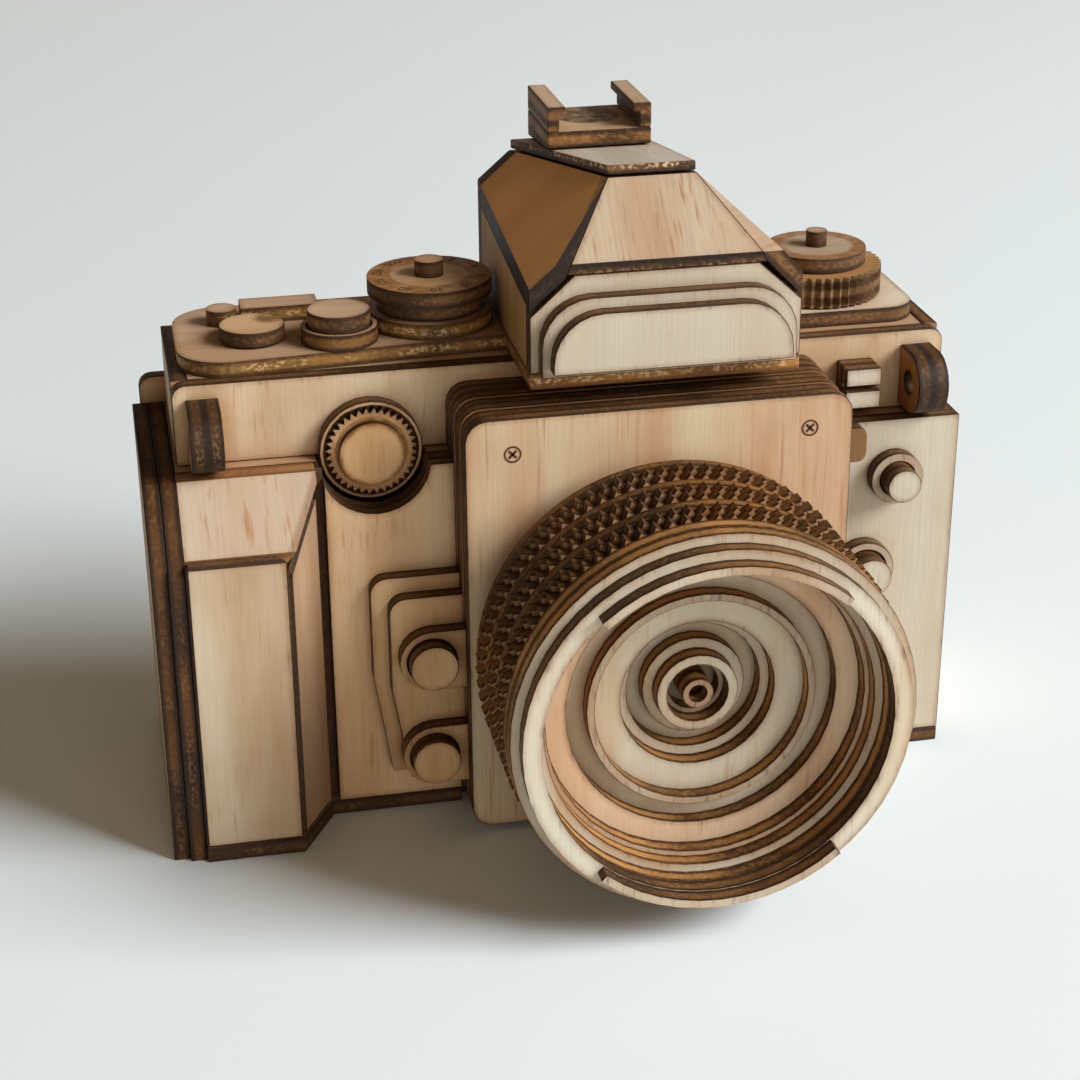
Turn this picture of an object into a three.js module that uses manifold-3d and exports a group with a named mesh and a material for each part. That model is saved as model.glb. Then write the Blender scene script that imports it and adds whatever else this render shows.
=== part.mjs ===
// Wooden toy camera of glued 3 mm plywood sheets, in millimetres.
// +X is the camera's left hand seen from the front, +Y is the back, +Z is up.
// Inside the groups, y = 0 is the upper housing's front face and z = 0 is the table.
import * as THREE from "three";
import { mergeVertices } from "three/addons/utils/BufferGeometryUtils.js";
import Module from "manifold-3d";

// Sheet stock and fits
const SHEET = 3;
const GLUE = 0.06;
const PLY = SHEET - GLUE;
const RUN = 0.3;
const STOCK = 400;

// Body
const LOWER_HEIGHT = 70.5;
const LOWER_RIGHT = 74.3;
const GRIP_LEFT = -72.8;
const UPPER_HALF = 72.2;
const UPPER_DEPTH = 34;
const UPPER_HEIGHT = 15.3;
const UPPER_CORNER = 2.5;
const UPPER_TOP = LOWER_HEIGHT + UPPER_HEIGHT;
const FRONT = -2 * SHEET;
const FRONT_LEFT = -3 * SHEET;
const REAR_COVER_RISE = 5.2;
const REAR_COVER_LEFT = -77.2;

// Grip: a front panel, a sloping shoulder above it and a chamfer beside it
const GRIP_FRONT = -7 * SHEET;
const GRIP_RIGHT = -54.7;
const GRIP_ROOT = -47.9;
const GRIP_SHOULDER_DROP = 10.75;
const GRIP_SHOULDER = LOWER_HEIGHT - GRIP_SHOULDER_DROP;
const GRIP_SIDE_BACK = 1;
const GRIP_SEAM = 1.2;

// Lens mount and lens, the lens planes counted in sheets from the mount's face
const MOUNT_LEFT = -23.1;
const MOUNT_WIDTH = 70.8;
const MOUNT_BOTTOM = 1.2;
const MOUNT_RISE = 12.2;
const MOUNT_CORNER = 4;
const MOUNT_INSET = 0.3;
const MOUNT_LAYERS = 4;
const MOUNT_FACE = FRONT - (MOUNT_LAYERS + 1) * SHEET;
const MOUNT_RIGHT = MOUNT_LEFT + MOUNT_WIDTH;
const MOUNT_TOP = LOWER_HEIGHT + MOUNT_RISE;
const TAB_REACH = 7.3;
const TAB_HEIGHT = 6.8;
const LENS_X = MOUNT_LEFT + MOUNT_WIDTH / 2;
const LENS_DROP = 2.05;
const LENS_Z = (MOUNT_BOTTOM + MOUNT_TOP) / 2 - LENS_DROP;
const BARREL_R = 30;
const LENS_BASE_LIP = 2;
const LENS_BASE_LAYERS = 2;
const FOCUS_WALL = 6;
const FOCUS_TIP_R = BARREL_R + FOCUS_WALL;
const FOCUS_TOOTH = 1.6;
const FOCUS_BAND_DROP = 0.8;
const FOCUS_TEETH = 48;
const FOCUS_ROWS = 3;
const FLOOR_LAYER = 7;
const BOSS_R = [9.2, 7.3];
const BOSS_HOLE_R = [4.5, 5.5];
const TUBE_R = 2.8;
const TUBE_HOLE_R = 1.6;
const BOSS_MARGIN = [2.8, 4.6];
const BORE_INSET = [6, 1.8, 1, -0.6];
const STEP_R = [
  ...BOSS_MARGIN.map((margin) => BOSS_R[0] + margin),
  ...BORE_INSET.map((inset) => BARREL_R - inset),
];
const RIM_INSET = 9.6;
const RIM_R = BARREL_R - RIM_INSET;
const RIM_WIDTH = 1.4;
const HOOD_LIP = 5.5;
const HOOD_STEP = 1.6;
const HOOD_TAB_STEP = 1.7;
const HOOD_R = BARREL_R + HOOD_LIP;
const HOOD_FRONT_R = HOOD_R - HOOD_STEP;
const HOOD_TAB_R = HOOD_FRONT_R - HOOD_TAB_STEP;
const HOOD_TAB_HALF = THREE.MathUtils.degToRad(41);

// Viewfinder prism, in its own group: x = 0 is its middle, z = 0 is the housing's top
const PRISM_X = 14.2;
const PRISM_HALF = 24.6;
const PRISM_FRONT = -16;
const PRISM_BACK = UPPER_DEPTH;
const EAVE_FRONT = 18.5;
const SLOPE_FOOT = 22.5;
const SLOPE_FOOT_HALF = 17.2;
const ROOF_FRONT = -4;
const ROOF_FRONT_HALF = 8;
const ROOF_FRONT_Z = 34.2;
const ROOF_FALL = THREE.MathUtils.degToRad(6.2);
const ROOF_BACK = 33.5;
const ROOF_BACK_LEFT = -18.2;
const ROOF_BACK_RIGHT = 6;
const ROOF_SHEET = 2;
const PLATE_SIDE = 13.4;
const PLATE_TOP = 20.6;
const PLATE_TOP_HALF = 16.6;
const PLATE_STEP = 1.5;
const PLATE_DROP = [3.3, 5.2];
const PLATE_CORNER = 9;
const EYEPIECE_WIDTH = 27;
const EYEPIECE_HEIGHT = 18;
const EYEPIECE_BORDER = 5;
const EYEPIECE_Z = 12.5;

// Accessory shoe, on the roof
const SHOE_X = -4.6;
const SHOE_FRONT = 17;
const SHOE_WIDTH = 19.5;
const SHOE_LENGTH = 18.5;
const SHOE_RISER = 2.2;
const SHOE_LIP = 3.4;
const SHOE_LIP_THICK = 1.6;

// Top decks and what stands on them
const DECK_TOP = UPPER_TOP + SHEET;
const DECK_LEFT = -70.3;
const DECK_CORNER = 9;
const DECK_LEFT_FRONT = 2.1;
const DECK_LEFT_INNER = 6.2;
const DECK_RIGHT = 69.2;
const DECK_RIGHT_FRONT = 5;
const DECK_RIGHT_CORNER = 6;
const SPINDLE_R = 1.5;
const SHUTTER_DIAL_AT = [-22.8, 17];
const SHUTTER_DIAL_R = 11.6;
const SHUTTER_NECK_R = 10;
const SHUTTER_PIN_R = 2.7;
const MODE_DIAL_AT = [-56.3, 13.7];
const MODE_DIAL_R = 6;
const POST_AT = [-61.1, 24];
const POST_R = 2.8;
const WINDOW_AT = [-57.5, 22.5];
const WINDOW_SIZE = [14.4, 6];
const SHUTTER_AT = [-40.7, 10];
const COLLAR_R = 7.05;
const SHUTTER_CAP_R = 5.8;
const SHUTTER_STEM_R = 2;
const SHUTTER_TRAVEL = 1.5;
const RIGHT_DIAL_AT = [52.6, 18.4];
const RIGHT_DIAL_R = 12.6;
const RIGHT_DIAL_TEETH = 44;
const RIGHT_TOP_R = 9.5;
const RIGHT_PIN_R = 2;

// Front fittings
const FRONT_DIAL_RISE = 1.3;
const FRONT_DIAL_AT = [-37.3, LOWER_HEIGHT + FRONT_DIAL_RISE];
const FRONT_DIAL_R = 9.45;
const FRONT_DIAL_POCKET_R = 10;
const FRONT_WHEEL_R = 8.3;
const FRONT_WHEEL_CAP_R = 6;
const FRONT_WHEEL_TEETH = 36;
const BRACKET_LEFT = -39.6;
const BRACKET_RISE = 10.1;
const BRACKET_STEP = 3;
const FN_X = -29.5;
const FN_DROP = [4.5, 24.1];
const FN_Z = FN_DROP.map((drop) => LENS_Z - drop);
const FN_R = 4.43;
const FN_SEAT_R = 5.9;
const SIDE_BUTTON_DROP = 11;
const SIDE_BUTTON_AT = [61.6, LOWER_HEIGHT - SIDE_BUTTON_DROP];
const SIDE_BUTTON_R = 3.3;
const RELEASE_RISE = 1;
const RELEASE_AT = [56.1, LENS_Z + RELEASE_RISE];
const RELEASE_R = 4;
const BUTTON_RING = 1.8;
const BUTTON_PROUD = 4;
const PRESS = 1.2;
const BLOCK_LEFT = 51.5;
const BLOCK_WIDTH = 6.8;
const BLOCK_RISE = 2.7;
const BLOCK_BOTTOM = LOWER_HEIGHT + BLOCK_RISE;
const BLOCK_STEP = 3.4;
const LUG_MIDDLE = 66.9;
const LUG_RISE = 6.8;
const LUG_Z = LOWER_HEIGHT + LUG_RISE;
const LUG_Y = -5.2;
const LUG_R = 5.8;
const LUG_HOLE_R = 2.3;

const wasm = await Module();
wasm.setup();

const birch = new THREE.MeshStandardMaterial({ color: 0xdcc09a, roughness: 0.7 });
const shaded = new THREE.MeshStandardMaterial({ color: 0xc9a577, roughness: 0.7 });
const burnt = new THREE.MeshStandardMaterial({ color: 0x7a4a2a, roughness: 0.8 });

const camera = new THREE.Group();
camera.position.y = -UPPER_DEPTH / 2;

// Adds a group at a place inside another.
function groupAt(parent, x, y, z) {
  const group = new THREE.Group();
  group.position.set(x, y, z);
  parent.add(group);
  return group;
}

// Adds one named piece to a group.
function piece(group, name, geometry, material = birch) {
  const mesh = new THREE.Mesh(geometry, material);
  mesh.name = name;
  group.add(mesh);
  return mesh;
}

// Points of an arc from one angle to another, in equal steps.
function arc(x, y, radius, from, to, steps) {
  const points = [];
  for (let i = 0; i <= steps; i += 1) {
    const angle = from + ((to - from) * i) / steps;
    points.push([x + radius * Math.cos(angle), y + radius * Math.sin(angle)]);
  }
  return points;
}

// Points of a full circle.
function circle(x, y, radius, steps = 32) {
  return arc(x, y, radius, 0, 2 * Math.PI, steps).slice(0, steps);
}

// Points of a rectangle with rounded corners.
function rounded(x0, y0, x1, y1, radius, steps = 4) {
  const quarter = Math.PI / 2;
  return [
    ...arc(x1 - radius, y1 - radius, radius, 0, quarter, steps),
    ...arc(x0 + radius, y1 - radius, radius, quarter, 2 * quarter, steps),
    ...arc(x0 + radius, y0 + radius, radius, 2 * quarter, 3 * quarter, steps),
    ...arc(x1 - radius, y0 + radius, radius, 3 * quarter, 4 * quarter, steps),
  ];
}

// Points of a plain rectangle.
function rectangle(x0, y0, x1, y1) {
  return [
    [x0, y0],
    [x1, y0],
    [x1, y1],
    [x0, y1],
  ];
}

// Points of a toothed rim: one root and one tip for each tooth.
function toothed(radius, depth, teeth, phase = 0) {
  const points = [];
  for (let i = 0; i < 2 * teeth; i += 1) {
    const angle = ((i + phase) * Math.PI) / teeth;
    const reach = i % 2 ? radius : radius - depth;
    points.push([reach * Math.cos(angle), reach * Math.sin(angle)]);
  }
  return points;
}

// A sheet cut to an outline, with its holes, lying in the XY plane from z = 0.
function cutSheet(outline, holes, thickness) {
  const shape = new THREE.Shape(outline.map(([x, y]) => new THREE.Vector2(x, y)));
  for (const hole of holes) {
    shape.holes.push(new THREE.Path(hole.map(([x, y]) => new THREE.Vector2(x, y))));
  }
  return new THREE.ExtrudeGeometry(shape, { depth: thickness, bevelEnabled: false });
}

// A sheet lying flat, its upper face at a height.
function flat(outline, top, thickness = PLY, holes = []) {
  return cutSheet(outline, holes, thickness).translate(0, 0, top - thickness);
}

// A sheet standing across the body, its outline in X and Z, its front face at y = front.
function upright(outline, front, thickness = PLY, holes = []) {
  return cutSheet(outline, holes, thickness)
    .rotateX(Math.PI / 2)
    .translate(0, front + thickness, 0);
}

// A sheet standing along the body, its outline in Y and Z, its lower-x face at x = left.
function endways(outline, left, thickness = PLY, holes = []) {
  const basis = new THREE.Matrix4().makeBasis(
    new THREE.Vector3(0, 1, 0),
    new THREE.Vector3(0, 0, 1),
    new THREE.Vector3(1, 0, 0),
  );
  return cutSheet(outline, holes, thickness).applyMatrix4(basis).translate(left, 0, 0);
}

// A turned piece about the Y axis: its profile of [radius, y] runs anticlockwise.
function turned(profile, steps = 40) {
  const points = profile.map(([radius, y]) => new THREE.Vector2(radius, y));
  points.push(points[0].clone());
  return new THREE.LatheGeometry(points, steps);
}

function solidOf(geometry) {
  const bare = geometry.clone();
  bare.deleteAttribute("normal");
  bare.deleteAttribute("uv");
  const merged = mergeVertices(bare, 1e-4);
  return new wasm.Manifold(
    new wasm.Mesh({
      numProp: 3,
      vertProperties: merged.attributes.position.array,
      triVerts: new Uint32Array(merged.index.array),
    }),
  );
}

function geometryOf(solid) {
  const mesh = solid.getMesh();
  const geometry = new THREE.BufferGeometry();
  geometry.setAttribute("position", new THREE.BufferAttribute(mesh.vertProperties, 3));
  geometry.setIndex(new THREE.BufferAttribute(mesh.triVerts, 1));
  const faceted = geometry.toNonIndexed();
  faceted.computeVertexNormals();
  return faceted;
}

// Glues pieces into one.
function join(...geometries) {
  return geometryOf(wasm.Manifold.union(geometries.map(solidOf)));
}

// Cuts a tool's shape out of a piece.
function cut(geometry, tool) {
  return geometryOf(solidOf(geometry).subtract(solidOf(tool)));
}

// A plane through three points, facing away from a point inside.
function outerPlane(a, b, c, inside) {
  const plane = new THREE.Plane().setFromCoplanarPoints(
    new THREE.Vector3(...a),
    new THREE.Vector3(...b),
    new THREE.Vector3(...c),
  );
  if (plane.distanceToPoint(new THREE.Vector3(...inside)) > 0) {
    plane.negate();
  }
  return plane;
}

// The outer plane that faces along an axis at a distance.
function facing(x, y, z, distance) {
  return new THREE.Plane(new THREE.Vector3(x, y, z), -distance);
}

// A sheet under an outer plane, cut back to other planes, each with its own inset.
function panel(plane, cuts, thickness = PLY) {
  let sheet = solidOf(new THREE.BoxGeometry(STOCK, STOCK, STOCK));
  const { x, y, z } = plane.normal;
  sheet = sheet.trimByPlane([-x, -y, -z], plane.constant);
  sheet = sheet.trimByPlane([x, y, z], -plane.constant - thickness);
  for (const [side, inset] of cuts) {
    const n = side.normal;
    sheet = sheet.trimByPlane([-n.x, -n.y, -n.z], side.constant + inset);
  }
  return geometryOf(sheet);
}

// The plane that halves the corner between a panel and its neighbour, facing the neighbour.
function mitre(own, other) {
  const normal = other.normal.clone().sub(own.normal);
  return new THREE.Plane(normal, other.constant - own.constant).normalize();
}

// The shoulder's outer plane lies one sheet outside the shelf's front edge.
const shoulderRise = SHEET * Math.SQRT2;
const shoulderPlane = outerPlane(
  [0, -SHEET, LOWER_HEIGHT + shoulderRise],
  [1, -SHEET, LOWER_HEIGHT + shoulderRise],
  [0, 0, LOWER_HEIGHT + shoulderRise + SHEET],
  [0, 0, 0],
);
const shoulderAt = (y) => LOWER_HEIGHT + shoulderRise + y + SHEET;
const chamferPlane = outerPlane(
  [GRIP_RIGHT, GRIP_FRONT, 0],
  [GRIP_ROOT, FRONT_LEFT, 0],
  [GRIP_ROOT, FRONT_LEFT, 1],
  [GRIP_LEFT, 0, 0],
);

// The pocket round the front dial, cut through the front sheets.
function dialPocket() {
  const [x, z] = FRONT_DIAL_AT;
  const depth = 4 * SHEET;
  return upright(circle(x, z, FRONT_DIAL_POCKET_R), -depth, depth);
}

function addLowerBody() {
  const foot = [
    [LOWER_RIGHT, FRONT],
    [LOWER_RIGHT, UPPER_DEPTH - GLUE],
    [GRIP_LEFT + GLUE, UPPER_DEPTH - GLUE],
    [GRIP_LEFT + GLUE, GRIP_FRONT],
    [GRIP_RIGHT, GRIP_FRONT],
    [GRIP_ROOT, FRONT_LEFT],
    [MOUNT_LEFT - GLUE, FRONT_LEFT],
    [MOUNT_LEFT - GLUE, FRONT],
  ];
  piece(camera, "base_plate", flat(foot, SHEET, SHEET));

  const floor = SHEET + GLUE;
  const front = [
    [LOWER_RIGHT, floor],
    [LOWER_RIGHT, LOWER_HEIGHT],
    [GRIP_ROOT + GLUE, LOWER_HEIGHT],
    [GRIP_ROOT + GLUE, LOWER_HEIGHT - SHEET - GLUE],
    [GRIP_LEFT + GLUE, LOWER_HEIGHT - SHEET - GLUE],
    [GRIP_LEFT + GLUE, floor],
  ];
  piece(camera, "lower_front", cut(upright(front, FRONT), dialPocket()));

  const second = rectangle(GRIP_ROOT + GRIP_SEAM, floor, MOUNT_LEFT - GLUE, LOWER_HEIGHT);
  piece(camera, "lower_front_left", cut(upright(second, FRONT_LEFT), dialPocket()));

  const end = rectangle(FRONT + SHEET + GLUE, floor, UPPER_DEPTH - GLUE, LOWER_HEIGHT);
  piece(camera, "right_end", endways(end, LOWER_RIGHT - PLY));

  const shelf = rectangle(
    GRIP_LEFT + GLUE,
    FRONT + SHEET + GLUE,
    LOWER_RIGHT - SHEET,
    UPPER_DEPTH - GLUE,
  );
  piece(camera, "lower_top", cut(flat(shelf, LOWER_HEIGHT), dialPocket()));

  const coverTop = LOWER_HEIGHT + REAR_COVER_RISE;
  const cover = rounded(REAR_COVER_LEFT, 0, LOWER_RIGHT, coverTop, UPPER_CORNER);
  piece(camera, "rear_cover", upright(cover, UPPER_DEPTH), shaded);
}

// A side plate of the grip: its front edge follows the grip's shoulder.
function sidePlate(front) {
  return [
    [front, 0],
    [UPPER_DEPTH - GLUE, 0],
    [UPPER_DEPTH - GLUE, LOWER_HEIGHT],
    [-SHEET - shoulderRise, LOWER_HEIGHT],
    [front, shoulderAt(front)],
  ];
}

function addGrip() {
  const inner = GRIP_LEFT - PLY;
  const front = GRIP_FRONT + GRIP_SIDE_BACK;
  piece(camera, "grip_side_inner", endways(sidePlate(front), inner), shaded);
  const outer = sidePlate(front + GRIP_SIDE_BACK);
  piece(camera, "grip_side_outer", endways(outer, inner - SHEET), shaded);

  const floor = facing(0, 0, -1, -SHEET - GLUE);
  const left = facing(-1, 0, 0, -GRIP_LEFT - GLUE);
  const face = facing(0, -1, 0, -GRIP_FRONT);
  const mainCuts = [
    [floor, 0],
    [left, 0],
    [facing(0, 0, 1, GRIP_SHOULDER), 0],
    [mitre(face, chamferPlane), GLUE],
  ];
  piece(camera, "grip_front", panel(face, mainCuts));

  const slopeCuts = [
    [face, SHEET + GLUE],
    [left, 0],
    [mitre(shoulderPlane, chamferPlane), GLUE],
    [facing(1, 0, 0, GRIP_ROOT), GLUE],
    [facing(0, 0, 1, LOWER_HEIGHT), 0],
    [facing(0, 1, 0, -SHEET - GLUE), 0],
  ];
  piece(camera, "grip_slope", panel(shoulderPlane, slopeCuts));

  const chamferCuts = [
    [floor, 0],
    [mitre(chamferPlane, face), GLUE],
    [mitre(chamferPlane, shoulderPlane), GLUE],
    [facing(0, 1, 0, FRONT_LEFT - GLUE), 0],
  ];
  piece(camera, "grip_chamfer", panel(chamferPlane, chamferCuts));
}

function addUpperHousing() {
  const floor = LOWER_HEIGHT + GLUE;
  const corner = UPPER_CORNER;
  const front = [
    [-UPPER_HALF, floor],
    [UPPER_HALF, floor],
    ...arc(UPPER_HALF - corner, UPPER_TOP - corner, corner, 0, Math.PI / 2, 4),
    ...arc(corner - UPPER_HALF, UPPER_TOP - corner, corner, Math.PI / 2, Math.PI, 4),
  ];
  piece(camera, "upper_front", upright(front, 0));

  const inside = UPPER_HALF - SHEET;
  const walls = [
    [-UPPER_HALF, SHEET],
    [-inside, SHEET],
    [-inside, UPPER_DEPTH - SHEET],
    [inside, UPPER_DEPTH - SHEET],
    [inside, SHEET],
    [UPPER_HALF, SHEET],
    [UPPER_HALF, UPPER_DEPTH - GLUE],
    [-UPPER_HALF, UPPER_DEPTH - GLUE],
  ];
  piece(camera, "upper_walls", flat(walls, UPPER_TOP, UPPER_HEIGHT - GLUE), shaded);

  const top = rectangle(GLUE - inside, SHEET, inside - GLUE, UPPER_DEPTH - SHEET - GLUE);
  const holes = [
    circle(...SHUTTER_DIAL_AT, SPINDLE_R + RUN, 12),
    circle(...MODE_DIAL_AT, SPINDLE_R + RUN, 12),
    circle(...RIGHT_DIAL_AT, SPINDLE_R + RUN, 12),
    circle(...SHUTTER_AT, SHUTTER_STEM_R + RUN, 12),
  ];
  piece(camera, "upper_top", flat(top, UPPER_TOP, PLY, holes));
}

function addMount() {
  const top = MOUNT_TOP;
  const outline = (inset) =>
    rounded(
      MOUNT_LEFT + inset,
      MOUNT_BOTTOM + inset,
      MOUNT_RIGHT - inset,
      top - inset,
      MOUNT_CORNER,
    );
  const layers = [];
  for (let i = 1; i <= MOUNT_LAYERS; i += 1) {
    const inset = i % 2 ? MOUNT_INSET : 0;
    const thickness = i < MOUNT_LAYERS ? SHEET : PLY;
    layers.push(upright(outline(inset), MOUNT_FACE + i * SHEET, thickness));
  }
  const filler = [
    [MOUNT_LEFT, LOWER_HEIGHT + GLUE],
    [MOUNT_RIGHT, LOWER_HEIGHT + GLUE],
    ...arc(MOUNT_RIGHT - MOUNT_CORNER, top - MOUNT_CORNER, MOUNT_CORNER, 0, Math.PI / 2, 4),
    ...arc(MOUNT_LEFT + MOUNT_CORNER, top - MOUNT_CORNER, MOUNT_CORNER, Math.PI / 2, Math.PI, 4),
  ];
  layers.push(upright(filler, FRONT - GLUE, -FRONT));
  const tab = rounded(
    MOUNT_RIGHT - SHEET,
    LOWER_HEIGHT - TAB_HEIGHT,
    MOUNT_RIGHT + TAB_REACH,
    LOWER_HEIGHT,
    TAB_HEIGHT / 4,
  );
  layers.push(upright(tab, FRONT - SHEET, PLY));
  piece(camera, "mount_stack", join(...layers), shaded);
  piece(camera, "mount_face", upright(outline(0), MOUNT_FACE));
}

function addLens() {
  const lens = groupAt(camera, LENS_X, MOUNT_FACE, LENS_Z);
  const plane = (layer) => -layer * SHEET;
  const floor = plane(FLOOR_LAYER);
  const baseFront = plane(LENS_BASE_LAYERS);

  const barrel = [
    [0, floor],
    [BARREL_R, floor],
    [BARREL_R, baseFront],
    [BARREL_R + LENS_BASE_LIP, baseFront],
    [BARREL_R + LENS_BASE_LIP, -GLUE],
    [0, -GLUE],
  ];
  piece(lens, "lens_barrel", turned(barrel, 32));

  // Each row of the grip is two toothed sheets, half a pitch apart, and a plain one behind them.
  const rims = [
    toothed(FOCUS_TIP_R, FOCUS_TOOTH, FOCUS_TEETH),
    toothed(FOCUS_TIP_R, FOCUS_TOOTH, FOCUS_TEETH, 1),
    circle(0, 0, FOCUS_TIP_R - FOCUS_BAND_DROP, FOCUS_TEETH),
  ];
  const bore = circle(0, 0, BARREL_R + RUN, 40);
  const count = FOCUS_ROWS * rims.length;
  const ringFront = plane(LENS_BASE_LAYERS + count) + RUN;
  const layerDepth = (baseFront - RUN - ringFront) / count;
  const grip = [];
  for (let i = 0; i < count; i += 1) {
    grip.push(upright(rims[i % rims.length], ringFront + i * layerDepth, layerDepth, [bore]));
  }
  piece(lens, "focus_ring", join(...grip), shaded);

  // Two sheets, each with its own bore, on the face of the layer behind them.
  const stepped = (layer, radius, bores) => [
    [radius, plane(layer + 2)],
    [radius, plane(layer) - GLUE],
    [bores[0], plane(layer) - GLUE],
    [bores[0], plane(layer + 1)],
    [bores[1], plane(layer + 1)],
    [bores[1], plane(layer + 2)],
  ];
  const innerSteps = stepped(FLOOR_LAYER, BARREL_R, STEP_R.slice(0, 2));
  piece(lens, "lens_steps_inner", turned(innerSteps, 36));
  const outerSteps = stepped(FLOOR_LAYER + 2, BARREL_R, STEP_R.slice(2, 4));
  piece(lens, "lens_steps_outer", turned(outerSteps));
  const hoodRear = stepped(FLOOR_LAYER + 4, HOOD_R, STEP_R.slice(4, 6));
  piece(lens, "hood_rear", turned(hoodRear, 48));

  const ring = (outer, inner, front, back) => [
    [outer, front],
    [outer, back],
    [inner, back],
    [inner, front],
  ];
  const rimBack = plane(FLOOR_LAYER + 2) - GLUE;
  piece(lens, "lens_rim", turned(ring(RIM_R, RIM_R - RIM_WIDTH, rimBack - PLY, rimBack)));

  const hoodBack = plane(FLOOR_LAYER + 6) - GLUE;
  const hoodFace = plane(FLOOR_LAYER + 7);
  const hood = [turned(ring(HOOD_FRONT_R, STEP_R[5], hoodFace, hoodBack), 48)];
  for (const middle of [Math.PI / 2, -Math.PI / 2]) {
    const from = middle - HOOD_TAB_HALF;
    const to = middle + HOOD_TAB_HALF;
    const tab = [
      ...arc(0, 0, HOOD_TAB_R, from, to, 12),
      ...arc(0, 0, STEP_R[5] + RUN / 2, to, from, 12),
    ];
    hood.push(upright(tab, hoodFace - SHEET, SHEET + GLUE));
  }
  piece(lens, "hood_front", join(...hood));

  const bossMiddle = plane(FLOOR_LAYER + 1);
  const bossFront = plane(FLOOR_LAYER + 2);
  const boss = [
    [BOSS_HOLE_R[1], bossFront],
    [BOSS_R[1], bossFront],
    [BOSS_R[1], bossMiddle],
    [BOSS_R[0], bossMiddle],
    [BOSS_R[0], floor - GLUE],
    [BOSS_HOLE_R[0], floor - GLUE],
    [BOSS_HOLE_R[0], bossMiddle],
    [BOSS_HOLE_R[1], bossMiddle],
  ];
  piece(lens, "lens_boss", turned(boss, 24));
  const tube = ring(TUBE_R, TUBE_HOLE_R, bossFront - RUN, floor - GLUE);
  piece(lens, "centre_tube", turned(tube, 20), burnt);
}

// The prism's outer planes; side is -1 for the left and 1 for the right.
const prismInside = [0, UPPER_DEPTH / 2, SHEET];
const roofDrop = (y) => ROOF_FRONT_Z - (y - ROOF_FRONT) * Math.tan(ROOF_FALL);
const roofBack = (side) => (side < 0 ? ROOF_BACK_LEFT : ROOF_BACK_RIGHT);
const facetPlane = (side) =>
  outerPlane(
    [side * PRISM_HALF, PRISM_FRONT, EAVE_FRONT],
    [side * (ROOF_FRONT_HALF + GLUE), ROOF_FRONT, ROOF_FRONT_Z],
    [roofBack(side) + side * GLUE, ROOF_BACK, roofDrop(ROOF_BACK)],
    prismInside,
  );
const slopePlane = outerPlane(
  [0, PRISM_FRONT, SLOPE_FOOT],
  [1, PRISM_FRONT, SLOPE_FOOT],
  [0, ROOF_FRONT, ROOF_FRONT_Z],
  prismInside,
);
const slopeSide = (side) => {
  const foot = new THREE.Vector3(side * SLOPE_FOOT_HALF, PRISM_FRONT, SLOPE_FOOT);
  const top = [side * ROOF_FRONT_HALF, ROOF_FRONT, ROOF_FRONT_Z];
  const inwards = foot.clone().sub(slopePlane.normal);
  return outerPlane(foot.toArray(), top, inwards.toArray(), prismInside);
};
const roofPlane = outerPlane(
  [0, ROOF_FRONT, ROOF_FRONT_Z],
  [1, ROOF_FRONT, ROOF_FRONT_Z],
  [0, PRISM_BACK, roofDrop(PRISM_BACK)],
  prismInside,
);

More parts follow.
